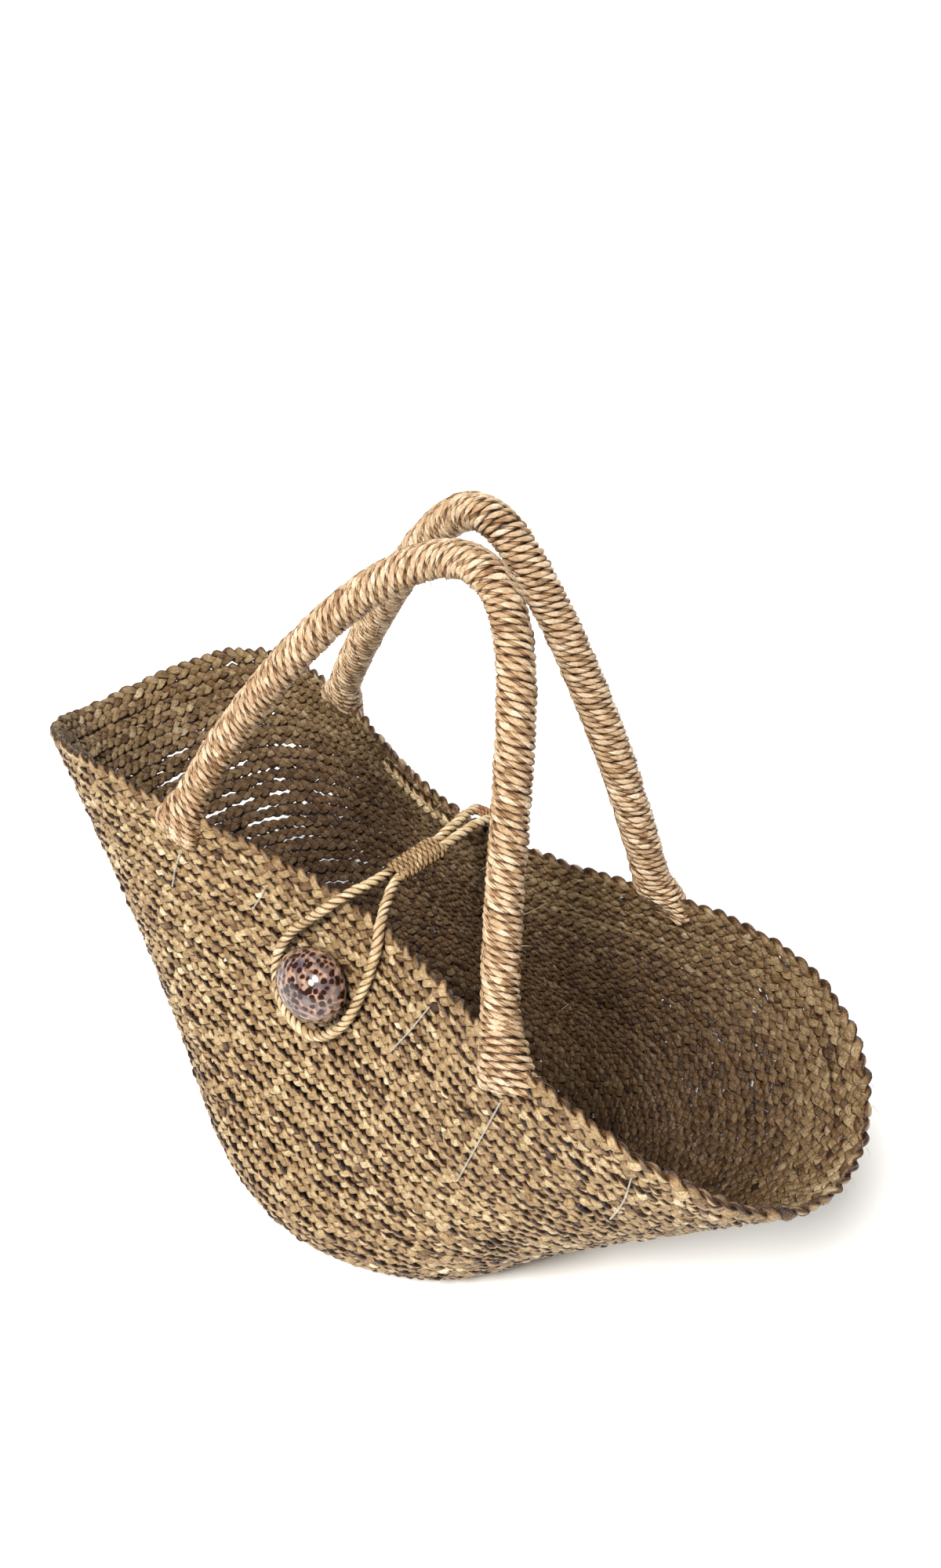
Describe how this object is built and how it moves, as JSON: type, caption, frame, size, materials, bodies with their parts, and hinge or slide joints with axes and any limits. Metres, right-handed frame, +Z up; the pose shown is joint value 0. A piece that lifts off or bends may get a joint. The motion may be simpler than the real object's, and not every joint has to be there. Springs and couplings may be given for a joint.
{
  "type": "seagrass carrying basket",
  "caption": "Oval basket sewn from plaited seagrass, with a flared rim drawn in at the middle, wrapped arch handles and a cord loop that hooks over a shell button.",
  "frame": {"origin": "centre of the object's box on the surface it stands on, under the middle of the base", "axes": "+X along the rim's long way, -Y to the front where the shell button is, +Z up"},
  "size_m": [0.582, 0.2302, 0.4493],
  "materials": {
    "seagrass_plait": "dry plaited seagrass, matt with a faint sheen",
    "raffia_wrap": "tight raffia winding, satin",
    "rope_core": "coarse rope, hidden",
    "twisted_cord": "pale twisted seagrass cord, satin",
    "binding_twine": "thin tan twine",
    "sewing_thread": "clear sewing thread",
    "cowrie_shell": "polished natural shell, brown spots on blue-grey"
  },
  "bodies": {
    "root": {"base_coil": "seagrass_plait", "wall_coil": "seagrass_plait", "rim_round": "seagrass_plait", "plait_tail": "seagrass_plait", "foot_front_left": "raffia_wrap", "foot_front_right": "raffia_wrap", "foot_back_left": "raffia_wrap", "foot_back_right": "raffia_wrap", "loop_leg_left": "twisted_cord", "loop_leg_right": "twisted_cord", "loop_whipping": "binding_twine", "loop_lashing": "binding_twine", "shell_button": "cowrie_shell", "shell_tie": "binding_twine", "sewing_thread_1": "sewing_thread", "sewing_thread_2": "sewing_thread", "sewing_thread_3": "sewing_thread", "sewing_thread_4": "sewing_thread", "sewing_thread_5": "sewing_thread"},
    "handle_front": {"handle_front_core": "rope_core", "handle_front_wrap": "raffia_wrap"},
    "handle_back": {"handle_back_core": "rope_core", "handle_back_wrap": "raffia_wrap"},
    "loop": {"loop_end": "twisted_cord"}
  },
  "joints": [
    {"name": "handle_front_swing", "type": "hinge", "parent": "root", "child": "handle_front", "pos_m": [-0.11253, -0.06244, 0.25497], "axis": [0.9995, -0.0296, -0.0076], "range_deg": [0, 110]},
    {"name": "handle_back_swing", "type": "hinge", "parent": "root", "child": "handle_back", "pos_m": [-0.13381, 0.07079, 0.25696], "axis": [-0.9997, 0.0127, 0.0204], "range_deg": [0, 97]},
    {"name": "loop_lift", "type": "hinge", "parent": "root", "child": "loop", "pos_m": [-0.0025, -0.0605, 0.233], "axis": [-0.9999, -0.0055, 0.0137], "range_deg": [0, 140]}
  ]
}
